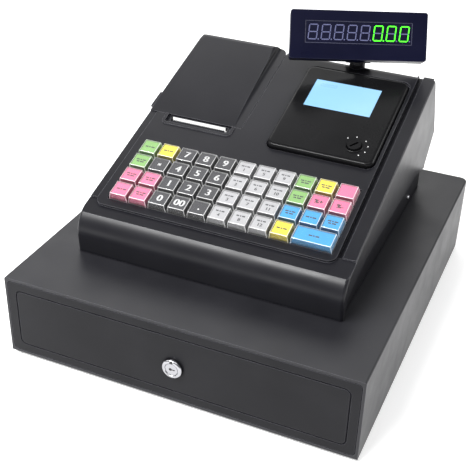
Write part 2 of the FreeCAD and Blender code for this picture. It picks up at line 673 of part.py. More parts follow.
def cover_side(inset):
    """The cover seen from its side: a wedge that rises to the hinge barrel, shrunk by inset."""
    front, up, level = dim("cover_front"), dim("hinge_up"), dim("hinge_out")
    radius = dim("barrel_radius") - inset
    top = level + radius
    cos45 = math.sqrt(0.5)
    shoulder = (up + radius * cos45, level + radius * cos45)
    if inset:
        start, low = dim("cover_hollow"), dim("cover_under")
        slope = (top + inset) / (up - front)
        return (start, low), [((start, (start - front) * slope - inset),), ((up, top),),
                              (shoulder, (up + radius, level)), ((up + radius, low),)]
    end = math.radians(dim("barrel_end"))
    tail = (up + radius * math.cos(end), level - radius * math.sin(end))
    lap = up - dim("barrel_lap")
    return (front, -dim("cover_wall")), [
        ((front, 0),), ((up, top),), (shoulder, tail), ((lap, tail[1]),),
        ((lap, -dim("cover_wall")),),
    ]


def cover_end(inset):
    """The cover seen from its front: round left edge, and a step down towards the display."""
    left, right, low = dim("cover_left") + inset, dim("cover_right"), dim("cover_under")
    step, foot, top = dim("step_left"), dim("step_right"), dim("cover_rise") - inset
    radius = dim("cover_round") - inset
    near = radius * (1 - math.sqrt(0.5))
    outline = [((left, top - radius),), ((left + near, top - near), (left + radius, top))]
    if inset:
        foot -= dim("step_under")
        return (left, low), [*outline, ((step - inset, top),), ((foot, -inset),), ((foot, low),)]
    return (left, low), [*outline, ((step, top),), *s_curve((step, top), (foot, 0)),
                         ((right, 0),), ((right, low),)]


def cover_plan(inset):
    """The cover seen from above: a large round corner at the back on the left."""
    left, right = dim("cover_left") + inset, dim("cover_right")
    back = dim("hinge_up") + dim("barrel_radius") - inset
    return softened([((left, -40), 0), ((right, -40), 0), ((right, back), dim("barrel_radius")),
                     ((left, back), dim("cover_corner") - inset)])


def cover_block(name, inset):
    """What the three views of the cover have in common."""
    left, right = dim("cover_left"), dim("cover_right")
    side = prism(name + "_side", "YZ_Plane", *cover_side(inset), left, right)
    end_on = prism(name + "_end", "XZ_Plane", *cover_end(inset), *COVER_SPAN)
    plan = prism(name + "_plan", "XY_Plane", *cover_plan(inset), BELOW, ABOVE)
    return common(name, side, end_on, plan)


def make_printer_cover():
    hull = cover_block("cover_hull", 0)
    hollow = cover_block("cover_inner", dim("cover_wall"))
    shell = cut("cover_shell", hull, hollow, *ear_reliefs())
    tab = block("cover_tab", ("cover_left - tab_out", "cover_left + 3"),
                ("tab_front", "tab_back"), ("0 - cover_wall", 0))
    pins = []
    for side, low, high in (("left", "cover_left + cover_wall - 0.5", "ear_left + ear_wall + 0.4"),
                            ("right", "ear_right - 0.4", "step_right - step_under + 0.5")):
        pins.append(rod("cover_pin_" + side, "x", "hinge_pin", f"({high}) - ({low})", low,
                        "hinge_up", "hinge_out"))
    node(on_deck(fuse("printer_cover_solid", shell, tab, *pins)), "printer_cover")


# ---------------------------------------------------------------- customer display
def on_mast(obj, tilt=0.0):
    """Place an object drawn about the tilt axis: turned with the mast, and tilted back."""
    turn = Rotation(Vector(0, 0, 1), dim("display_yaw"))
    lean = Rotation(Vector(1, 0, 0), -tilt)
    obj.Placement = Placement(Vector(), turn.multiply(lean))
    bind(obj, "Placement.Base.x", "mast_x")
    bind(obj, "Placement.Base.y", "mast_y")
    bind(obj, "Placement.Base.z", "tilt_height")
    return obj


def make_display_mast():
    neck = rod("mast_neck", "z", "mast_radius", "tilt_height - mast_bottom + yoke_top - 1",
               0, 0, "mast_bottom - tilt_height")
    collar = rod("mast_collar", "z", "boss_radius", "collar_height", 0, 0,
                 "boss_top - tilt_height + mast_clearance")
    inner, outer = "knuckle_half + cheek_gap", "knuckle_half + cheek_gap + cheek_wall"
    depth = ("0 - yoke_half", "yoke_half")
    yoke = block("mast_yoke", (f"0 - ({outer})", outer), depth, ("yoke_bottom", "yoke_top"))
    parts = [neck, collar, yoke]
    for side, span in (("right", (inner, outer)), ("left", (f"0 - ({outer})", f"0 - ({inner})"))):
        plate = block(f"cheek_plate_{side}", span, depth, ("yoke_top - 2", 0))
        head = rod(f"cheek_head_{side}", "x", "knuckle_radius", "cheek_wall", span[0])
        parts += [plate, head]
    bore = rod("mast_bore", "x", "tilt_pin + tilt_pin_gap", ABOVE - BELOW, BELOW)
    node(on_mast(cut("display_mast_solid", fuse("mast_parts", *parts), bore)), "display_mast")


def make_customer_display():
    half, shift = dim("display_width") / 2, dim("display_shift")
    low = -dim("display_drop")
    high = low + dim("display_height")
    back = "display_back"
    start, segments = rounded(shift - half, shift + half, low, high,
                              dim("display_corner"))
    housing = prism("display_housing", "XZ_Plane", start, segments, back,
                    back + " + display_thickness")
    face = "(0 - display_back - display_thickness)"
    window = block("display_window", ("display_shift - glass_half_width", "display_shift + glass_half_width"),
                   (face + " - 10", face + " + glass_depth"),
                   ("glass_low - display_drop", "glass_high - display_drop"))
    web = block("knuckle_web", ("0 - knuckle_half", "knuckle_half"),
                ("0 - display_back - 1", 0), ("0 - knuckle_radius + 1", "knuckle_radius"))
    knuckle = rod("knuckle", "x", "knuckle_radius", "2 * knuckle_half", "0 - knuckle_half")
    pin_half = "(knuckle_half + cheek_gap + cheek_wall)"
    pin = rod("tilt_pin_rod", "x", "tilt_pin", f"2 * {pin_half}", f"0 - {pin_half}")
    solid = fuse("display_body", cut("display_case", housing, window), web, knuckle, pin)
    node(on_mast(solid, dim("display_tilt")), "customer_display")


# ---------------------------------------------------------------- keyboard
KEY_ROWS = (
    ("feed", "clerk", "7", "8", "9", "department_1", "department_5", "department_9",
     "received_on_account", "price_lookup", "spare"),
    ("receipt", "times", "4", "5", "6", "department_2", "department_6", "department_10",
     "paid_out", "percent_plus", "percent_minus"),
    ("cancel", "refund", "1", "2", "3", "department_3", "department_7", "department_11",
     "charge", "card", "subtotal"),
    ("clear", "correction", "0", "00", "point", "department_4", "department_8", "department_12",
     "table", "cash"),
)
KEYS = [("key_" + label, row, column, 2 if label == "cash" else 1)
        for row, labels in enumerate(KEY_ROWS) for column, label in enumerate(labels)]


def make_key(label, row, column, span):
    """Key cap that narrows towards its top, on a square stem."""
    x, up = key_place(row, column)
    extra = (span - 1) * dim("key_pitch")
    cap = doc.addObject("Part::Wedge", "cap_" + label)
    base, top = (dim("key_base") + extra) / 2, (dim("key_top") + extra) / 2
    cap.Xmin, cap.Xmax, cap.X2min, cap.X2max = -base, base, -top, top
    cap.Zmin, cap.Zmax = -dim("key_base") / 2, dim("key_base") / 2
    cap.Z2min, cap.Z2max = -dim("key_top") / 2, dim("key_top") / 2
    bind(cap, "Ymin", "key_bottom")
    bind(cap, "Ymax", "key_bottom + key_rise")
    cap.Placement = Placement(Vector(), Rotation(Vector(1, 0, 0), 90))
    stem = block("stem_" + label, ("0 - stem_width / 2", "stem_width / 2"),
                 ("0 - stem_width / 2", "stem_width / 2"), ("stem_bottom", "key_bottom + 1"))
    key = fuse("solid_" + label, cap, stem)
    deck = Placement(Vector(0, 0, dim("deck_height")),
                     Rotation(Vector(1, 0, 0), dim("deck_slope")))
    key.Placement = deck.multiply(Placement(Vector(x + extra / 2, up, 0), Rotation()))
    node(key, label)


make_cabinet()
make_feet()
make_rails()
make_drawer_front()
make_drawer_box()
make_till_tray()
make_lock()
make_base_casing()
make_top_casing()
make_circuit_boards()
make_display_panel()
make_mode_switch()
make_printer_mechanism()
make_paper_roll()
make_printer_cover()
make_display_mast()
make_customer_display()
for key_data in KEYS:
    make_key(*key_data)

doc.recompute()
for obj in doc.Objects:
    if {"Invalid", "Error"} & set(obj.State):
        raise RuntimeError(f"{obj.Label} did not recompute: {obj.State}")
for obj in NODES:
    if obj.Shape.isNull() or not obj.Shape.isValid() or not obj.Shape.Solids:
        raise RuntimeError(f"{obj.Label} has no valid shape")
    obj.Shape.exportStep(f"parts/{obj.Label}.step")
    print(obj.Label, len(obj.Shape.Solids), round(obj.Shape.Volume, 1))
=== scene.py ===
import json
import math

import bmesh
import bpy
from mathutils import Matrix, Vector


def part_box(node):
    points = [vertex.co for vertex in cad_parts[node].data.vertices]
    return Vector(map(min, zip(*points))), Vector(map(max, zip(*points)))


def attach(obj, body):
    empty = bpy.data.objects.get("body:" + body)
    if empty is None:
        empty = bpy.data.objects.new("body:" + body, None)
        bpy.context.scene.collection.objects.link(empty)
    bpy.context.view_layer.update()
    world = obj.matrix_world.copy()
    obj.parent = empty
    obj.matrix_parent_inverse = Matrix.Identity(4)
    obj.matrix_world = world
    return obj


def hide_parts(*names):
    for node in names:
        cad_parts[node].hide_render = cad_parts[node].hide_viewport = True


# The looks of a cash register. Lengths in the tables are millimetres; MM turns them into metres.
# Places on the sloping top are given in the deck's own frame: across, up the slope, out of it.

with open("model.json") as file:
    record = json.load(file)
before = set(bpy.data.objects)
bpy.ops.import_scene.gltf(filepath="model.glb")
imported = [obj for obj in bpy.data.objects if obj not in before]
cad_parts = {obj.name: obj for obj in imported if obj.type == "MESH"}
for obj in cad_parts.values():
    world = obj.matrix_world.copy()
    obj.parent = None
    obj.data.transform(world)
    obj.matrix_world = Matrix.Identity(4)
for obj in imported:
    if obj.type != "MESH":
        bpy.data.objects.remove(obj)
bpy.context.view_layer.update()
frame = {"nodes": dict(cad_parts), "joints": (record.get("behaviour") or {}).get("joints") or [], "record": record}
nodes = frame["nodes"]
joints = {joint["name"]: joint for joint in frame["joints"]}
slot_of = {entry["node"]: entry["material_slot"] for entry in frame["record"]["subparts"]}
MM = 0.001

# ---------------------------------------------------------------- local frames
DECK_HEIGHT = 161
DECK_OUT = -Vector(joints["key_5_press"]["axis"]).normalized()
ACROSS = Vector((1, 0, 0))
DECK_UP = DECK_OUT.cross(ACROSS)


def axes_to_matrix(across, up, out, origin):
    """Matrix whose columns are three unit axes and an origin in metres."""
    matrix = Matrix.Identity(4)
    for column, axis in enumerate((across, up, out, origin)):
        for row in range(3):
            matrix[row][column] = axis[row]
    return matrix


DECK = axes_to_matrix(ACROSS, DECK_UP, DECK_OUT, Vector((0, 0, DECK_HEIGHT * MM)))

DISPLAY_TILT = math.radians(28)
tilt_axis = Vector(joints["display_tilt"]["axis"]).normalized()
display_out = Matrix.Rotation(-DISPLAY_TILT, 3, tilt_axis) @ tilt_axis.cross(Vector((0, 0, 1)))
DISPLAY = axes_to_matrix(tilt_axis, display_out.cross(tilt_axis), display_out,
                         Vector(joints["display_tilt"]["pos_m"]))


def span(node, axis):
    """Lowest and highest distance of a CAD node's corners along a world axis, in millimetres."""
    reach = [vertex.co.dot(axis) / MM for vertex in nodes[node].data.vertices]
    return min(reach), max(reach)


# ---------------------------------------------------------------- finishes
BEVEL_SAMPLES = 4
HOLLOW_SAMPLES = 8
# Keeps mottling visible on near-black colours.
MOTTLE_LIFT = 0.004
# Colour sockets of a Mix node: its two inputs and its result.
MIX_FROM, MIX_TO, MIX_RESULT = 6, 7, 2


class Finish:
    """A Principled material with procedural layers for colour, gloss and surface relief."""

    def __init__(self, name, colour, roughness, edge=0.0, **sockets):
        self.material = bpy.data.materials.new(name)
        self.material.use_nodes = True
        self.tree = self.material.node_tree
        self.shader = self.tree.nodes["Principled BSDF"]
        self.base = colour
        self.shader.inputs["Base Color"].default_value = (*colour, 1)
        self.shader.inputs["Roughness"].default_value = roughness
        for socket, value in sockets.items():
            self.shader.inputs[socket.replace("_", " ")].default_value = value
        self.place = self.add("ShaderNodeTexCoord").outputs["Object"]
        self.colour = None
        self.normal = None
        if edge:
            bevel = self.add("ShaderNodeBevel")
            bevel.samples = BEVEL_SAMPLES
            bevel.inputs["Radius"].default_value = edge * MM
            self.set_normal(bevel.outputs["Normal"])

    def add(self, kind, **inputs):
        """New shader node with constant values on its inputs."""
        node = self.tree.nodes.new(kind)
        for socket, value in inputs.items():
            node.inputs[socket.replace("_", " ")].default_value = value
        return node

    def link(self, output, target):
        self.tree.links.new(output, target)

    def set_normal(self, output):
        self.normal = output
        self.link(output, self.shader.inputs["Normal"])

    def noise(self, size, detail=2.0, stretch=(1, 1, 1)):
        """Noise whose features are about size millimetres across."""
        mapping = self.add("ShaderNodeMapping", Scale=stretch)
        self.link(self.place, mapping.inputs["Vector"])
        noise = self.add("ShaderNodeTexNoise", Scale=1 / (size * MM), Detail=detail)
        self.link(mapping.outputs["Vector"], noise.inputs["Vector"])
        return noise.outputs["Fac"]

    def spread(self, value, low, high, start=0.3, end=0.7):
        """Stretch a value from start..end to low..high."""
        ranged = self.add("ShaderNodeMapRange", From_Min=start, From_Max=end, To_Min=low, To_Max=high)
        self.link(value, ranged.inputs["Value"])
        return ranged.outputs["Result"]

    def tint(self, mask, colour):
        """Blend a colour over the base where the mask is high."""
        mix = self.add("ShaderNodeMix")
        mix.data_type = "RGBA"
        mix.inputs[MIX_FROM].default_value = (*self.base, 1)
        mix.inputs[MIX_TO].default_value = (*colour, 1)
        self.link(mask, mix.inputs["Factor"])
        if self.colour:
            self.link(self.colour, mix.inputs[MIX_FROM])
        self.colour = mix.outputs[MIX_RESULT]
        self.link(self.colour, self.shader.inputs["Base Color"])
        return self

    def mottled(self, size, amount):
        """Uneven depth of colour."""
        shade = tuple(channel * (1 + amount) + amount * MOTTLE_LIFT for channel in self.base)
        return self.tint(self.spread(self.noise(size, 4), 0, 1), shade)

    def dusted(self, size, colour, most):
        """A faint film of dust, thicker in patches."""
        return self.tint(self.spread(self.noise(size, 6), 0, most, 0.45, 0.8), colour)

    def smudged(self, size, low, high):
        """Gloss that varies where it has been handled."""
        self.link(self.spread(self.noise(size, 3), low, high), self.shader.inputs["Roughness"])
        return self

    def grained(self, size, strength, depth, stretch=(1, 1, 1)):
        """Fine relief: moulding grain, powder coat or drawing lines."""
        bump = self.add("ShaderNodeBump", Strength=strength, Distance=depth * MM)
        self.link(self.noise(size, 2, stretch), bump.inputs["Height"])
        if self.normal:
            self.link(self.normal, bump.inputs["Normal"])
        self.set_normal(bump.outputs["Normal"])
        return self

    def edge_highlight_and_wear(self, radius, colour, most):
        """Lighter edges, found by comparing a rounded normal with the true one: a painted highlight along the
        edges, with some polish from wear.
        """
        rounded = self.add("ShaderNodeBevel", Radius=radius * MM)
        rounded.samples = BEVEL_SAMPLES
        flat = self.add("ShaderNodeNewGeometry")
        facing = self.add("ShaderNodeVectorMath")
        facing.operation = "DOT_PRODUCT"
        self.link(rounded.outputs["Normal"], facing.inputs[0])
        self.link(flat.outputs["Normal"], facing.inputs[1])
        return self.tint(self.spread(facing.outputs["Value"], most, 0, 0.80, 0.97), colour)

    def crevice_painted_shade(self, reach, gloss):
        """Painted shade: grooves and seams narrower than reach lose their shine through ambient occlusion, so that
        they read as dark lines.
        """
        hollow = self.add("ShaderNodeAmbientOcclusion", Distance=reach * MM)
        hollow.samples = HOLLOW_SAMPLES
        shine = self.spread(hollow.outputs["AO"], 0, gloss, 0.45, 0.92)
        self.link(shine, self.shader.inputs["Specular IOR Level"])
        return self

    def glowing(self, strength):
        self.shader.inputs["Emission Color"].default_value = (*self.base, 1)
        self.shader.inputs["Emission Strength"].default_value = strength
        return self


def powder_coat(name, colour, gloss):
    # Painted shade in grooves and seams, through ambient occlusion on the gloss.
    finish = Finish(name, colour, 0.38, edge=0.5).crevice_painted_shade(3, gloss)
    finish.mottled(60, 0.25).dusted(45, (0.10, 0.10, 0.11), 0.03).smudged(30, 0.34, 0.42)
    # Lighter edges: painted highlight, with some wear.
    finish.edge_highlight_and_wear(0.6, (0.13, 0.13, 0.15), 0.7)
    return finish.grained(0.9, 0.18, 0.12)


def casing_plastic():
    # Painted shade in grooves and seams, through ambient occlusion on the gloss.
    finish = Finish("casing_plastic", (0.0065, 0.0065, 0.0088), 0.33, edge=0.45).crevice_painted_shade(4, 0.25)
    finish.mottled(50, 0.2).dusted(40, (0.10, 0.10, 0.11), 0.02).smudged(35, 0.30, 0.38)
    # Lighter edges: painted highlight, with some wear.
    finish.edge_highlight_and_wear(0.7, (0.20, 0.20, 0.22), 0.7)
    return finish.grained(0.7, 0.14, 0.10)


def display_gloss():
    finish = Finish("display_gloss", (0.004, 0.004, 0.0045), 0.24, edge=0.3, Specular_IOR_Level=0.13)
    finish.mottled(40, 0.3)
    return finish.smudged(25, 0.20, 0.29).grained(6, 0.03, 0.05)


def display_navy():
    finish = Finish("display_navy", (0.0016, 0.0020, 0.011), 0.34, edge=0.5, Specular_IOR_Level=0.07)
    finish.mottled(50, 0.3)
    # Lighter edges: painted highlight, with some wear.
    finish.edge_highlight_and_wear(0.8, (0.06, 0.06, 0.09), 0.7)
    return finish.smudged(30, 0.25, 0.36).grained(1.2, 0.05, 0.06)


def zinc_steel():
    finish = Finish("zinc_steel", (0.50, 0.51, 0.53), 0.34, edge=0.3, Metallic=1.0)
    finish.mottled(12, -0.25).smudged(9, 0.26, 0.44)
    return finish.grained(1.4, 0.10, 0.05, stretch=(1, 0.08, 1))


def tray_plastic():
    finish = Finish("tray_plastic", (0.020, 0.020, 0.022), 0.50, edge=0.5)
    finish.mottled(40, 0.3).dusted(20, (0.12, 0.11, 0.10), 0.10).smudged(15, 0.42, 0.58)
    return finish.grained(0.8, 0.25, 0.12)


def black_rubber():
    finish = Finish("black_rubber", (0.016, 0.016, 0.016), 0.82, edge=0.4)
    return finish.mottled(8, 0.4).dusted(5, (0.15, 0.14, 0.13), 0.2).grained(0.5, 0.35, 0.12)


def lock_chrome():
    finish = Finish("lock_chrome", (0.40, 0.40, 0.42), 0.14, Metallic=1.0)
    return finish.mottled(6, -0.06).smudged(4, 0.07, 0.16).grained(0.8, 0.03, 0.02)


def board_green():
    finish = Finish("board_green", (0.015, 0.11, 0.045), 0.38, edge=0.2, Coat_Weight=0.3)
    return finish.mottled(3, 0.5).smudged(8, 0.3, 0.45).grained(1.5, 0.2, 0.08)


def mechanism_plastic():
    finish = Finish("mechanism_plastic", (0.06, 0.06, 0.065), 0.52, edge=0.4)
    return finish.mottled(25, 0.25).dusted(15, (0.3, 0.3, 0.29), 0.1).grained(0.8, 0.2, 0.1)


def receipt_paper():
    finish = Finish("receipt_paper", (0.86, 0.86, 0.84), 0.62)
    return finish.mottled(1.5, -0.04).grained(0.4, 0.10, 0.04)


KEY_COLOURS = {
    "key_green": (0.22, 0.40, 0.13), "key_yellow": (0.68, 0.58, 0.05), "key_dark": (0.034, 0.034, 0.040),
    "key_grey": (0.40, 0.40, 0.41), "key_pink": (0.68, 0.17, 0.30), "key_blue": (0.04, 0.31, 0.58),
}


def key_insert(slot):
    finish = Finish(slot, KEY_COLOURS[slot], 0.42)
    return finish.mottled(9, -0.08).grained(0.5, 0.05, 0.03)


def key_ink(name, colour):
    return Finish(name, colour, 0.5).mottled(1.2, -0.12)


def key_edge_highlight(slot):
    """Painted highlight on the cap's rounded edges: a lighter colour over the insert's colour stands in for the
    light that the clear plastic gathers there.
    """
    colour = tuple(0.52 + 0.46 * channel for channel in KEY_COLOURS[slot])
    finish = Finish(slot + "_border", colour, 0.16, Coat_Weight=0.6)
    return finish.mottled(3, -0.10).smudged(3, 0.12, 0.24)


def clear_cap():
    """Clear plastic face: seen through, with the gloss of its surface."""
    finish = Finish("key_clear", (1, 1, 1), 0.10)
    finish.smudged(6, 0.05, 0.14)
    through = finish.add("ShaderNodeBsdfTransparent", Color=(0.97, 0.97, 0.97, 1))
    fresnel = finish.add("ShaderNodeFresnel", IOR=1.49)
    mix = finish.add("ShaderNodeMixShader")
    finish.link(fresnel.outputs["Fac"], mix.inputs["Fac"])
    finish.link(through.outputs["BSDF"], mix.inputs[1])
    finish.link(finish.shader.outputs["BSDF"], mix.inputs[2])
    surface = finish.tree.nodes["Material Output"].inputs["Surface"]
    finish.link(mix.outputs["Shader"], surface)
    return finish


LCD_LEFT_COLOUR = (0.27, 0.58, 0.93)
LCD_RIGHT_COLOUR = (0.33, 0.62, 0.96)
LCD_STRENGTH = 0.72


def lcd_glow():
    """Backlit panel, a little brighter towards its right."""
    finish = Finish("lcd_glow", (0.10, 0.19, 0.27), 0.30)
    finish.mottled(30, 0.1)
    parts = finish.add("ShaderNodeSeparateXYZ")
    finish.link(finish.place, parts.inputs["Vector"])
    left, right = (value * MM for value in LCD_X)
    ramp = finish.add("ShaderNodeMix")
    ramp.data_type = "RGBA"
    ramp.inputs[MIX_FROM].default_value = (*LCD_LEFT_COLOUR, 1)
    ramp.inputs[MIX_TO].default_value = (*LCD_RIGHT_COLOUR, 1)
    finish.link(finish.spread(parts.outputs["X"], 0, 1, left, right), ramp.inputs["Factor"])
    finish.link(ramp.outputs[MIX_RESULT], finish.shader.inputs["Emission Color"])
    finish.shader.inputs["Emission Strength"].default_value = LCD_STRENGTH
    return finish


# ---------------------------------------------------------------- mesh tools
SMOOTH_ANGLE = math.radians(38)
BEVEL_SEGMENTS = 3
AXIS_RADIUS = 1e-6


def to_piece(name, builder, finishes, body):
    """Turn a bmesh in world metres into a piece with its materials, riding on a body."""
    mesh = bpy.data.meshes.new(name)
    bmesh.ops.recalc_face_normals(builder, faces=builder.faces)
    builder.to_mesh(mesh)
    builder.free()
    for finish in finishes:
        mesh.materials.append(finish.material)
    for polygon in mesh.polygons:
        polygon.use_smooth = True
    mesh.set_sharp_from_angle(angle=SMOOTH_ANGLE)
    piece = bpy.data.objects.new(name, mesh)
    bpy.context.scene.collection.objects.link(piece)
    weighted = piece.modifiers.new("even_normals", "WEIGHTED_NORMAL")
    weighted.keep_sharp = True
    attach(piece, body)
    return piece


def rounded_outline(low_x, high_x, low_y, high_y, radius, steps=6):
    """Corner points of a rectangle with round corners, anticlockwise."""
    points = []
    corners = ((high_x, low_y, -90), (high_x, high_y, 0), (low_x, high_y, 90), (low_x, low_y, 180))
    for x, y, start in corners:
        centre_x = x - math.copysign(radius, x - (low_x + high_x) / 2)
        centre_y = y - math.copysign(radius, y - (low_y + high_y) / 2)
        for step in range(steps + 1):
            angle = math.radians(start + 90 * step / steps)
            points.append((centre_x + radius * math.cos(angle), centre_y + radius * math.sin(angle)))
    return points


def circle_outline(x, y, radius, steps=32):
    """Corner points of a circle, anticlockwise."""
    return [(x + radius * math.cos(2 * math.pi * step / steps),
             y + radius * math.sin(2 * math.pi * step / steps)) for step in range(steps)]


def extrude(builder, low_outline, high_outline, low, high, place, material=0, bevel=0.0,
            bevel_material=-1):
    """Closed form between two matching outlines; its upper rim and corners can be rounded."""
    rings = []
    for outline, height in ((low_outline, low), (high_outline, high)):
        rings.append([builder.verts.new(place @ (Vector((x, y, height)) * MM)) for x, y in outline])
    bottom, top = rings
    count = len(bottom)
    faces = [builder.faces.new(bottom[::-1]), builder.faces.new(top)]
    faces += [builder.faces.new((bottom[i], bottom[(i + 1) % count], top[(i + 1) % count], top[i]))
              for i in range(count)]
    for face in faces:
        face.material_index = material
    if bevel:
        edges = list(faces[1].edges)
        edges += [edge for face in faces[2:] for edge in face.edges
                  if len({vertex in top for vertex in edge.verts}) == 2]
        bmesh.ops.bevel(builder, geom=list(set(edges)), offset=bevel * MM,
                        segments=BEVEL_SEGMENTS, profile=0.5, affect="EDGES",
                        material=bevel_material, clamp_overlap=True)


def slab(builder, outline, low, high, place, material=0):
    """Plate of even outline between two heights."""
    extrude(builder, outline, outline, low, high, place, material)


def lathe(builder, profile, place, material=0, steps=48):
    """Turn a profile of (radius, height) points about the local third axis."""
    rings = []
    for radius, height in profile:
        if radius < AXIS_RADIUS:
            rings.append([builder.verts.new(place @ (Vector((0, 0, height)) * MM))])
        else:
            rings.append([builder.verts.new(place @ (Vector((x, y, height)) * MM))
                          for x, y in circle_outline(0, 0, radius, steps)])
    for inner, outer in zip(rings, rings[1:]):
        for step in range(steps):
            corners = [ring[step % len(ring)] for ring in (inner, outer)]
            corners += [ring[(step + 1) % len(ring)] for ring in (outer, inner)]
            face = builder.faces.new(list(dict.fromkeys(corners)))
            face.material_index = material


def strip(builder, path, across, thickness, place):
    """Bent strip of even thickness: a path of (along, height) points, swept between two sides."""
    sides = []
    for sign in (0.5, -0.5):
        line = []
        for number, (along, height) in enumerate(path):
            before = path[max(number - 1, 0)]
            after = path[min(number + 1, len(path) - 1)]
            run = Vector((after[0] - before[0], after[1] - before[1])).normalized()
            line.append((along - run.y * sign * thickness, height + run.x * sign * thickness))
        sides.append(line)
    outline = sides[0] + sides[1][::-1]
    rings = [[builder.verts.new(place @ (Vector((x, along, height)) * MM))
              for along, height in outline] for x in across]
    count = len(outline)
    builder.faces.new(rings[0])
    builder.faces.new(rings[1][::-1])
    for step in range(count):
        after = (step + 1) % count
        builder.faces.new((rings[0][step], rings[0][after], rings[1][after], rings[1][step]))


def smooth_path(points, steps=6):
    """Points along a smooth curve through the given ones."""
    path = []
    last = len(points) - 1
    for number in range(last):
        p0, p1 = points[max(number - 1, 0)], points[number]
        p2, p3 = points[number + 1], points[min(number + 2, last)]
        for step in range(steps):
            t = step / steps
            path.append(tuple(
                0.5 * (2 * b + (c - a) * t + (2 * a - 5 * b + 4 * c - d) * t * t
                       + (3 * b - a - 3 * c + d) * t ** 3)
                for a, b, c, d in zip(p0, p1, p2, p3)))
    return path + [points[last]]


def write(builder, text, size, centre, place, material):
    """Flat numerals or a plain sign, centred on a point and facing out."""
    curve = bpy.data.curves.new("legend", "FONT")
    curve.body = text
    curve.size = size * MM
    curve.align_x = "CENTER"
    curve.align_y = "CENTER"
    holder = bpy.data.objects.new("legend", curve)
    bpy.context.scene.collection.objects.link(holder)
    bpy.context.view_layer.update()
    evaluated = holder.evaluated_get(bpy.context.evaluated_depsgraph_get())
    mesh = bpy.data.meshes.new_from_object(evaluated)
    mesh.transform(place @ Matrix.Translation(Vector(centre) * MM))
    first = len(builder.faces)
    builder.from_mesh(mesh)
    builder.faces.ensure_lookup_table()
    for face in builder.faces[first:]:
        face.material_index = material
    bpy.data.objects.remove(holder)
    bpy.data.curves.remove(curve)
    bpy.data.meshes.remove(mesh)


# ---------------------------------------------------------------- keys
KEY_RISE = 7.4
KEY_TAPER = 1.35
KEY_EDGE = 0.45
STEM_HALF = 3
STEM_OVERLAP = 0.2
INSERT_INSET = 0.75
INSERT_DROP = 0.7
INSERT_LIFT = 0.1
INSERT_EDGE = 0.3
LEGEND_LIFT = 0.03
NUMERAL_SIZE = 10.5
SIGN_SIZE = 6.5
DEPARTMENT_SIZE = 5
DEPARTMENT_SHIFT = 2.4
POINT_DROP = 1.6
POINT_RADIUS = 0.8
# Sideways shifts at which numerals are repeated, so that their strokes grow heavier.
BOLD = 0.35
HEAVY_SHIFTS = (-BOLD, 0, BOLD)
MEDIUM_SHIFTS = (-BOLD / 2, BOLD / 2)
SIGNS = {"times": "×", "percent_plus": "%+", "percent_minus": "%-"}
# Dash lengths of the plain marks that stand for words, one list for each line.
WORD_MARKS = ((3.2, 1.4, 3.4), (2.6, 3.8))
DEPARTMENT_MARKS = ((2.6, 1.2, 2.8),)
MARK_GAP = 0.8
MARK_HALF = 0.7
MARK_PITCH = 2.6
SHORT_WORD = 5


def square(half_x, half_y):
    """Corner points of a rectangle centred on the origin."""
    return [(-half_x, -half_y), (half_x, -half_y), (half_x, half_y), (-half_x, half_y)]


def draw_marks(builder, lines, top, place, material):
    """Rows of short dashes in place of words."""
    for row, dashes in enumerate(lines):
        x = -(sum(dashes) + MARK_GAP * (len(dashes) - 1)) / 2
        y = (len(lines) - 1) * MARK_PITCH / 2 - row * MARK_PITCH
        for dash in dashes:
            outline = [(x, y - MARK_HALF), (x + dash, y - MARK_HALF), (x + dash, y + MARK_HALF),
                       (x, y + MARK_HALF)]
            slab(builder, outline, top, top + LEGEND_LIFT, place, material)
            x += dash + MARK_GAP


def write_repeated(builder, text, size, shifts, up, top, place, material):
    """The same text at several small sideways shifts."""
    for shift in shifts:
        write(builder, text, size, (shift, up, top + LEGEND_LIFT), place, material)


def draw_legend(builder, label, top, place, material):
    """Numbers stay numbers; every word becomes plain marks."""
    name = label.removeprefix("key_")
    if name.isdigit():
        write_repeated(builder, name, NUMERAL_SIZE, HEAVY_SHIFTS, 0, top, place, material)
    elif name == "point":
        slab(builder, circle_outline(0, -POINT_DROP, POINT_RADIUS, 16), top, top + LEGEND_LIFT,
             place, material)
    elif name in SIGNS:
        write_repeated(builder, SIGNS[name], SIGN_SIZE, HEAVY_SHIFTS, 0, top, place, material)
    elif name.startswith("department_"):
        raised = place @ Matrix.Translation((0, DEPARTMENT_SHIFT * MM, 0))
        draw_marks(builder, DEPARTMENT_MARKS, top, raised, material)
        write_repeated(builder, name.removeprefix("department_"), DEPARTMENT_SIZE, MEDIUM_SHIFTS,
                       -DEPARTMENT_SHIFT, top, place, material)
    elif name != "spare":
        lines = WORD_MARKS if len(name) > SHORT_WORD else WORD_MARKS[:1]
        draw_marks(builder, lines, top, place, material)


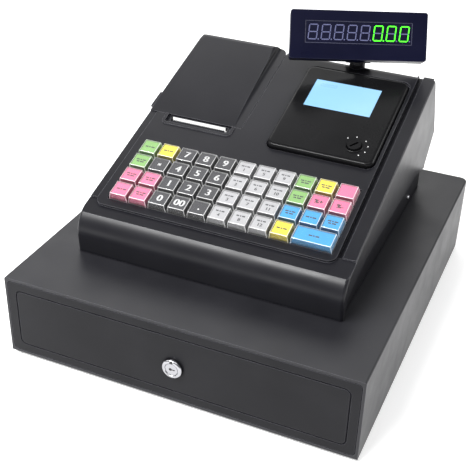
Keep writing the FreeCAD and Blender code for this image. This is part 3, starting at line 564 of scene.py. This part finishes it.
def make_keys():
    """Each key's coloured insert and legend, seen through its clear cap."""
    clear = clear_cap()
    inks = {"dark": key_ink("ink_white", (0.85, 0.85, 0.85)),
            "other": key_ink("ink_black", (0.05, 0.05, 0.055))}
    inserts = {slot: (key_insert(slot), key_edge_highlight(slot)) for slot in sorted(set(slot_of.values()))
               if slot.startswith("key_")}
    deck_origin = DECK.translation
    for label in [name for name in nodes if name.startswith("key_")]:
        left, right = span(label, ACROSS)
        front, back = (value - deck_origin.dot(DECK_UP) / MM for value in span(label, DECK_UP))
        low, top = (value - deck_origin.dot(DECK_OUT) / MM for value in span(label, DECK_OUT))
        half_x, half_y = (right - left) / 2, (back - front) / 2
        place = DECK @ Matrix.Translation(Vector(((left + right) / 2, (front + back) / 2, 0)) * MM)
        base = top - KEY_RISE
        builder = bmesh.new()
        extrude(builder, square(half_x - INSERT_INSET, half_y - INSERT_INSET),
                square(half_x - KEY_TAPER - INSERT_INSET, half_y - KEY_TAPER - INSERT_INSET),
                base + INSERT_LIFT, top - INSERT_DROP, place, 0, INSERT_EDGE)
        slab(builder, square(STEM_HALF, STEM_HALF), low, base + STEM_OVERLAP, place, 0)
        draw_legend(builder, label, top - INSERT_DROP, place, 1)
        extrude(builder, square(half_x, half_y), square(half_x - KEY_TAPER, half_y - KEY_TAPER),
                base, top, place, 2, KEY_EDGE, bevel_material=3)
        slot = slot_of[label]
        # border is the painted highlight on the cap's rounded edges.
        insert, border = inserts[slot]
        ink = inks["dark" if slot == "key_dark" else "other"]
        piece = to_piece(label + "_cap", builder, (insert, ink, clear, border), label)
        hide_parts(label)


# ---------------------------------------------------------------- operator display
LCD_X = (15.5, 82.5)
LCD_UP = (73.5, 114.5)
LCD_ROUND = 0.5
LCD_THICKNESS = 0.3
WINDOW_FLOOR = 4.2
SKIN = 0.02
TEXT_INSET = (8, 7)
TEXT_COUNT = 5
TEXT_PITCH = 3.4
TEXT_SIZE = (2.3, 4.4)
TEXT_STROKE = 0.42
TEXT_SLANT = 0.05
SWITCH = (81.5, 31)
SWITCH_RADIUS = 6.6
# (distance beyond the switch's radius, height) points of the ring around the mode switch.
RING_PROFILE = ((0.35, 4.9), (0.5, 5.5), (1.1, 5.8), (1.7, 5.5), (2.0, 4.9), (0.35, 4.9))
DOT_ORBIT = 12.8
DOT_RADIUS = 0.62
DOT_SPAN = (4.98, 5.03)
DOT_ANGLES = (135, 96, 49, 14, -22, -54)
ZERO = "abcdef"
ALL_SEGMENTS = "abcdefg"
SEGMENT_GAP = 0.2


def draw_digit(builder, segments, centre, width, height, stroke, slant, low, high, place, material):
    """Seven-segment strokes with pointed ends, leaning by slant."""
    half_w, half_h = (width - stroke) / 2, (height - stroke) / 2
    ends = {"a": ((-half_w, half_h), (half_w, half_h)), "d": ((-half_w, -half_h), (half_w, -half_h)),
            "g": ((-half_w, 0), (half_w, 0)), "b": ((half_w, 0), (half_w, half_h)),
            "c": ((half_w, -half_h), (half_w, 0)), "f": ((-half_w, 0), (-half_w, half_h)),
            "e": ((-half_w, -half_h), (-half_w, 0))}
    gap = stroke * SEGMENT_GAP
    for segment in segments:
        start, end = (Vector(point) for point in ends[segment])
        run = (end - start).normalized()
        side = Vector((-run.y, run.x)) * stroke / 2
        start, end = start + run * gap, end - run * gap
        tip = run * stroke / 2
        points = [start, start + tip + side, end - tip + side, end, end - tip - side,
                  start + tip - side]
        outline = [(centre[0] + p.x + p.y * slant, centre[1] + p.y) for p in points[::-1]]
        slab(builder, outline, low, high, place, material)


def make_lcd():
    """Lit panel with a short row of faint figures."""
    low = WINDOW_FLOOR + SKIN
    face = low + LCD_THICKNESS
    builder = bmesh.new()
    slab(builder, rounded_outline(*LCD_X, *LCD_UP, LCD_ROUND), low, face, DECK, 0)
    start_x, up = LCD_X[0] + TEXT_INSET[0], LCD_UP[1] - TEXT_INSET[1]
    for number in range(TEXT_COUNT):
        draw_digit(builder, ZERO, (start_x + number * TEXT_PITCH, up), *TEXT_SIZE, TEXT_STROKE,
                   TEXT_SLANT, face, face + SKIN, DECK, 1)
    to_piece("operator_lcd", builder, (lcd_glow(), key_ink("lcd_ink", (0.16, 0.33, 0.50))),
             "register")


def make_mode_marks():
    """Dots around the mode switch, one for each of its positions."""
    builder = bmesh.new()
    for angle in DOT_ANGLES:
        x = SWITCH[0] + DOT_ORBIT * math.cos(math.radians(angle))
        up = SWITCH[1] + DOT_ORBIT * math.sin(math.radians(angle))
        slab(builder, circle_outline(x, up, DOT_RADIUS, 16), *DOT_SPAN, DECK, 0)
    to_piece("mode_marks", builder, (key_ink("mark_white", (0.72, 0.72, 0.72)),), "register")


def make_switch_ring(gloss):
    """Raised ring around the mode switch."""
    builder = bmesh.new()
    ring = [(SWITCH_RADIUS + beyond, height) for beyond, height in RING_PROFILE]
    lathe(builder, ring, DECK @ Matrix.Translation(Vector((*SWITCH, 0)) * MM))
    to_piece("mode_switch_ring", builder, (gloss,), "register")


# ---------------------------------------------------------------- customer display
DISPLAY_FACE = 32.5
DISPLAY_SHIFT = -4.4
GLASS_HALF = 52
GLASS_UP = (3.8, 25.3)
DIGIT_PITCH = 12.7
DIGIT_SIZE = (9.2, 15.2)
DIGIT_STROKE = 1.05
DIGIT_SLANT = 0.10
LIT_DIGITS = 3
DIGIT_COUNT = 8
GLASS_SINK = 0.8
GLASS_CORNER = 0.6
GLASS_FACE = 0.22
DIGIT_FACE = 0.27
BORDER_FACE = 0.5
BORDER_WIDTH = 0.45
# Decimal point: part of the pitch to the right, height above the digit's foot, radius.
DECIMAL_ASIDE, DECIMAL_UP, DECIMAL_RADIUS = 0.42, 0.6, 0.7


def display_finishes():
    """Backing, unlit segments, lit segments and border line of the customer display."""
    unlit = Finish("segments_unlit", (0.085, 0.090, 0.17), 0.45, Specular_IOR_Level=0.1)
    lit = Finish("segments_lit", (0.06, 0.95, 0.01), 0.4)
    backing = Finish("display_backing", (0.0025, 0.003, 0.012), 0.26, Specular_IOR_Level=0.08)
    border = Finish("display_frame_line", (0.030, 0.032, 0.060), 0.35)
    return (backing.mottled(20, 0.4), unlit.mottled(2, 0.2), lit.mottled(2, 0.1).glowing(1.15),
            border.mottled(8, 0.3))


def draw_border(builder, floor, panel):
    """Thin raised line around the glass."""
    across, (foot, head) = (-GLASS_HALF, GLASS_HALF), GLASS_UP
    for (low_x, high_x), (low_up, high_up) in (
            (across, (foot, foot + BORDER_WIDTH)), (across, (head - BORDER_WIDTH, head)),
            ((-GLASS_HALF, -GLASS_HALF + BORDER_WIDTH), GLASS_UP),
            ((GLASS_HALF - BORDER_WIDTH, GLASS_HALF), GLASS_UP)):
        slab(builder, [(low_x, low_up), (high_x, low_up), (high_x, high_up), (low_x, high_up)],
             floor + GLASS_FACE, floor + BORDER_FACE, panel, 3)


def make_customer_display():
    """Glass, border and eight digits, of which the last three show zeros."""
    middle = sum(GLASS_UP) / 2
    panel = DISPLAY @ Matrix.Translation(Vector((DISPLAY_SHIFT, 0, 0)) * MM)
    floor = DISPLAY_FACE - GLASS_SINK
    builder = bmesh.new()
    outline = rounded_outline(-GLASS_HALF, GLASS_HALF, *GLASS_UP, GLASS_CORNER)
    slab(builder, outline, floor + SKIN, floor + GLASS_FACE, panel, 0)
    draw_border(builder, floor, panel)
    heights = floor + GLASS_FACE, floor + DIGIT_FACE
    for number in range(DIGIT_COUNT):
        x = (number - (DIGIT_COUNT - 1) / 2) * DIGIT_PITCH
        shows = ZERO if number >= DIGIT_COUNT - LIT_DIGITS else ""
        dark = [segment for segment in ALL_SEGMENTS if segment not in shows]
        for segments, material in ((dark, 1), (shows, 2)):
            draw_digit(builder, segments, (x, middle), *DIGIT_SIZE, DIGIT_STROKE, DIGIT_SLANT,
                       *heights, panel, material)
        point = circle_outline(x + DIGIT_PITCH * DECIMAL_ASIDE,
                               middle - DIGIT_SIZE[1] / 2 + DECIMAL_UP, DECIMAL_RADIUS, 12)
        slab(builder, point, *heights, panel, 2 if number == DIGIT_COUNT - LIT_DIGITS else 1)
    to_piece("customer_digits", builder, display_finishes(), "display")


# ---------------------------------------------------------------- drawer lock
# (radius, height) points of the barrel, the rim and the plug, turned about the lock's axis.
LOCK_PROFILE = ((0, -17.5), (7.7, -17.5), (7.7, 0.3), (9.3, 0.3), (9.5, 0.6), (9.5, 2.2),
                (9.1, 3.2), (8.2, 3.85), (6.7, 4.0), (6.3, 3.7), (6.0, 3.0), (5.8, 3.0),
                (5.6, 3.4), (5.2, 3.5), (0, 3.5))
CAM_HALF = 5
CAM_REACH = 20
CAM_ROUND = 1
CAM_SPAN = (-18, -16)
# Dark marks lie in the plug's face: the keyhole's eye and bit, painted shade standing in for the hollow keyway,
# and an index mark on the rim.
EYE_PLACE, EYE_RADIUS, EYE_SPAN = (-0.9, 0), 1.45, (3.45, 3.53)
BIT_LENGTH, BIT_HALF, BIT_SPAN = 3.4, 0.55, (3.45, 3.54)
INDEX_HALF, INDEX_UP, INDEX_ROUND, INDEX_SPAN = 1.4, (6.2, 8.3), 0.5, (3.5, 4.0)


def make_lock(chrome):
    """Turned ring and plug, with the keyhole painted on the plug as flat dark marks of shade."""
    pos = Vector(joints["lock_turn"]["pos_m"])
    place = axes_to_matrix(ACROSS, Vector((0, 0, 1)), Vector((0, -1, 0)), pos)
    # Painted shade for the keyhole; the index mark shares this dark colour.
    dark = Finish("keyway_dark", (0.01, 0.01, 0.01), 0.6).mottled(1, 0.5)
    builder = bmesh.new()
    lathe(builder, LOCK_PROFILE, place)
    slab(builder, rounded_outline(-CAM_HALF, CAM_HALF, -CAM_HALF, CAM_REACH, CAM_ROUND), *CAM_SPAN,
         place, 0)
    slab(builder, circle_outline(*EYE_PLACE, EYE_RADIUS, 24), *EYE_SPAN, place, 1)
    slab(builder, [(0, -BIT_HALF), (BIT_LENGTH, -BIT_HALF), (BIT_LENGTH, BIT_HALF), (0, BIT_HALF)],
         *BIT_SPAN, place, 1)
    slab(builder, rounded_outline(-INDEX_HALF, INDEX_HALF, *INDEX_UP, INDEX_ROUND), *INDEX_SPAN,
         place, 1)
    piece = to_piece("drawer_lock_turned", builder, (chrome, dark), "lock")
    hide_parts("drawer_lock")


# ---------------------------------------------------------------- drawer inside
NOTE_BAYS = 4
TRAY_WALL = 2
CLIP_HALF = 8
CLIP_THICKNESS = 1.8
CLIP_PATH = ((92, 41), (90, 46), (82, 48), (70, 42), (52, 28), (38, 17.5), (30, 15), (22, 16.5))
AXLE_PLACE = (0, 91, 43)
AXLE_HALF = 14
AXLE_RADIUS = 1.5


def make_note_clips(plastic, steel):
    """One sprung clip on its axle over each note bay."""
    left, right = span("till_tray", ACROSS)
    width = (right - left - TRAY_WALL * (NOTE_BAYS + 1)) / NOTE_BAYS
    for number in range(NOTE_BAYS):
        centre = left + TRAY_WALL + width / 2 + number * (width + TRAY_WALL)
        builder = bmesh.new()
        strip(builder, smooth_path(CLIP_PATH), (centre - CLIP_HALF, centre + CLIP_HALF),
              CLIP_THICKNESS, Matrix.Identity(4))
        axle = axes_to_matrix(Vector((0, 1, 0)), Vector((0, 0, 1)), ACROSS, Vector(AXLE_PLACE) * MM)
        start, end = centre - AXLE_HALF, centre + AXLE_HALF
        rod = [(0, start), (AXLE_RADIUS, start), (AXLE_RADIUS, end), (0, end)]
        lathe(builder, rod, axle, 1, 16)
        to_piece(f"note_clip_{number + 1}", builder, (plastic, steel), "drawer")


# ---------------------------------------------------------------- receipt paper
PAPER_CENTRE = -74.75
PAPER_HALF = 28.4
PAPER_THICKNESS = 0.12
PAPER_PATH = ((88, -6.6), (74, -5.6), (58, -4.6), (44, -6.6), (34, -8.6), (28.5, -8.2), (23.6, -7),
              (22.7, -4), (24.2, 0.4))
TEETH = 28
TOOTH_TIP = -0.3
TOOTH_ROOT = -0.9
BAR_FOOT = -2.4
BAR_UP = 20.9
BAR_HALF = 0.25


def make_receipt(paper, steel):
    """End of the paper strip, and the toothed bar that it is torn against."""
    left, right = PAPER_CENTRE - PAPER_HALF, PAPER_CENTRE + PAPER_HALF
    builder = bmesh.new()
    strip(builder, smooth_path(PAPER_PATH), (left, right), PAPER_THICKNESS, DECK)
    to_piece("receipt_strip", builder, (paper,), "register")
    width = 2 * PAPER_HALF / TEETH
    edge = [(left, BAR_FOOT)]
    for tooth in range(TEETH):
        start = left + tooth * width
        edge += [(start + width / 2, TOOTH_TIP), (start + width, TOOTH_ROOT)]
    edge.append((right, BAR_FOOT))
    upright = DECK @ Matrix.Translation(Vector((0, BAR_UP, 0)) * MM) @ Matrix.Rotation(
        math.radians(90), 4, "X")
    builder = bmesh.new()
    slab(builder, edge, -BAR_HALF, BAR_HALF, upright)
    to_piece("tear_bar", builder, (steel,), "register")


# ---------------------------------------------------------------- side screw
SCREW_BACK = 103
SCREW_HEIGHT = 93
SCREW_PROFILE = ((0, -0.5), (2.4, -0.5), (2.4, 0.5), (2.0, 1.1), (1.2, 1.4), (0, 1.5))
RECESS_LONG, RECESS_SHORT = 1.3, 0.25
RECESS_SPAN = (1.3, 1.53)


def make_side_screw(chrome):
    """Pan-head screw low on the right side of the base, its cross recess painted as dark marks of shade."""
    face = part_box("base_casing")[1].x
    place = axes_to_matrix(Vector((0, 1, 0)), Vector((0, 0, 1)), ACROSS,
                           Vector((face, SCREW_BACK * MM, SCREW_HEIGHT * MM)))
    dark = Finish("recess_dark", (0.012, 0.012, 0.012), 0.5).mottled(1, 0.4)
    builder = bmesh.new()
    lathe(builder, SCREW_PROFILE, place)
    # Painted shade: two flat dark bars stand for the hollow cross recess.
    for half_x, half_y in ((RECESS_LONG, RECESS_SHORT), (RECESS_SHORT, RECESS_LONG)):
        slab(builder, square(half_x, half_y), *RECESS_SPAN, place, 1)
    to_piece("side_screw", builder, (chrome, dark), "register")


# ---------------------------------------------------------------- stage
FLOOR_HALF = 6000
FLOOR_THICKNESS = 20
FLOOR_GLOW = 0.35
WORLD_STRENGTH = 0.42


def make_floor():
    """White floor that stays bright in the object's shadow."""
    finish = Finish("floor_paper", (0.86, 0.86, 0.86), 0.8).mottled(400, 0.02)
    finish.shader.inputs["Emission Color"].default_value = (1, 1, 1, 1)
    finish.shader.inputs["Emission Strength"].default_value = FLOOR_GLOW
    builder = bmesh.new()
    slab(builder, square(FLOOR_HALF, FLOOR_HALF), -FLOOR_THICKNESS, 0, Matrix.Identity(4))
    mesh = bpy.data.meshes.new("floor")
    builder.to_mesh(mesh)
    builder.free()
    mesh.materials.append(finish.material)
    floor = bpy.data.objects.new("floor", mesh)
    bpy.context.scene.collection.objects.link(floor)


LIGHTS = {
    # name: place (m), aim (m), size (m), power (W)
    "overhead_softbox": ((0.7, -0.9, 1.9), (0, 0, 0.1), (1.4, 1.0), 10),
    "front_strip": ((-0.75, -1.25, 1.75), (0, -0.1, 0.12), (1.5, 0.20), 74),
    "rear_card": ((-0.6, 1.35, 1.35), (0, 0, 0.1), (1.7, 1.1), 13),
    "right_softbox": ((1.9, 0.9, 0.9), (0, 0, 0.1), (1.3, 1.0), 19),
    "left_fill": ((-1.8, -0.6, 1.1), (0, 0, 0.1), (1.2, 1.0), 8),
}


def make_lights():
    """Rectangular studio lights and an even white world."""
    for name, (place, aim, size, power) in LIGHTS.items():
        light = bpy.data.lights.new(name, "AREA")
        light.shape = "RECTANGLE"
        light.size, light.size_y = size
        light.energy = power
        holder = bpy.data.objects.new(name, light)
        holder.location = place
        holder.rotation_euler = (Vector(aim) - Vector(place)).to_track_quat("-Z", "Y").to_euler()
        bpy.context.scene.collection.objects.link(holder)
    world = bpy.data.worlds.new("studio")
    bpy.context.scene.world = world
    world.use_nodes = True
    background = world.node_tree.nodes["Background"]
    background.inputs["Color"].default_value = (1, 1, 1, 1)
    background.inputs["Strength"].default_value = WORLD_STRENGTH
    bpy.context.scene.view_settings.view_transform = "Standard"


# ---------------------------------------------------------------- camera
CAMERA_AZIMUTH = math.radians(22.937)
CAMERA_ELEVATION = math.radians(31.661)
CAMERA_ROLL = math.radians(1.608)
CAMERA_DISTANCE = 0.946617
CAMERA_TARGET = Vector((-0.025, 0.002, 0.06708))
CAMERA_LENS = 72.67


def make_camera():
    """Camera on a sphere around its target, leaning by its roll."""
    level = math.cos(CAMERA_ELEVATION)
    back = Vector((math.sin(CAMERA_AZIMUTH) * level, -math.cos(CAMERA_AZIMUTH) * level,
                   math.sin(CAMERA_ELEVATION)))
    right = Vector((0, 0, 1)).cross(back).normalized()
    up = back.cross(right)
    turned_right = right * math.cos(CAMERA_ROLL) + up * math.sin(CAMERA_ROLL)
    turned_up = up * math.cos(CAMERA_ROLL) - right * math.sin(CAMERA_ROLL)
    camera = bpy.data.cameras.new("camera")
    camera.lens = CAMERA_LENS
    camera.sensor_width = 36
    camera.clip_end = 50
    holder = bpy.data.objects.new("camera", camera)
    holder.matrix_world = axes_to_matrix(turned_right, turned_up, back,
                                         CAMERA_TARGET + back * CAMERA_DISTANCE)
    bpy.context.scene.collection.objects.link(holder)
    bpy.context.scene.camera = holder


# ---------------------------------------------------------------- assembly
def dress(name, finish):
    """Give one carried-over CAD node a finish."""
    nodes[name].data.materials.clear()
    nodes[name].data.materials.append(finish.material)


def dress_cad_nodes(finishes):
    """Give each carried-over CAD node the finish of its material slot."""
    for name in nodes:
        if slot_of[name] in finishes:
            dress(name, finishes[slot_of[name]])


finishes = {
    "cabinet_paint": powder_coat("cabinet_paint", (0.012, 0.012, 0.0145), 0.28),
    "casing_plastic": casing_plastic(),
    "display_gloss": display_gloss(), "display_navy": display_navy(), "zinc_steel": zinc_steel(),
    "tray_plastic": tray_plastic(), "black_rubber": black_rubber(), "lock_chrome": lock_chrome(),
    "board_green": board_green(), "mechanism_plastic": mechanism_plastic(),
    "receipt_paper": receipt_paper(),
}
dress_cad_nodes(finishes)
# Painted shade: the drawer front gets a darker, less glossy copy of the cabinet paint, so that its front face
# reads darker than the top.
dress("drawer_front", powder_coat("drawer_paint_shaded", (0.007, 0.007, 0.0085), 0.13))
make_keys()
make_lcd()
make_mode_marks()
make_switch_ring(finishes["display_gloss"])
make_customer_display()
make_lock(finishes["lock_chrome"])
make_note_clips(finishes["tray_plastic"], finishes["zinc_steel"])
make_receipt(finishes["receipt_paper"], finishes["zinc_steel"])
make_side_screw(finishes["lock_chrome"])
make_floor()
make_lights()
make_camera()

bpy.context.view_layer.update()
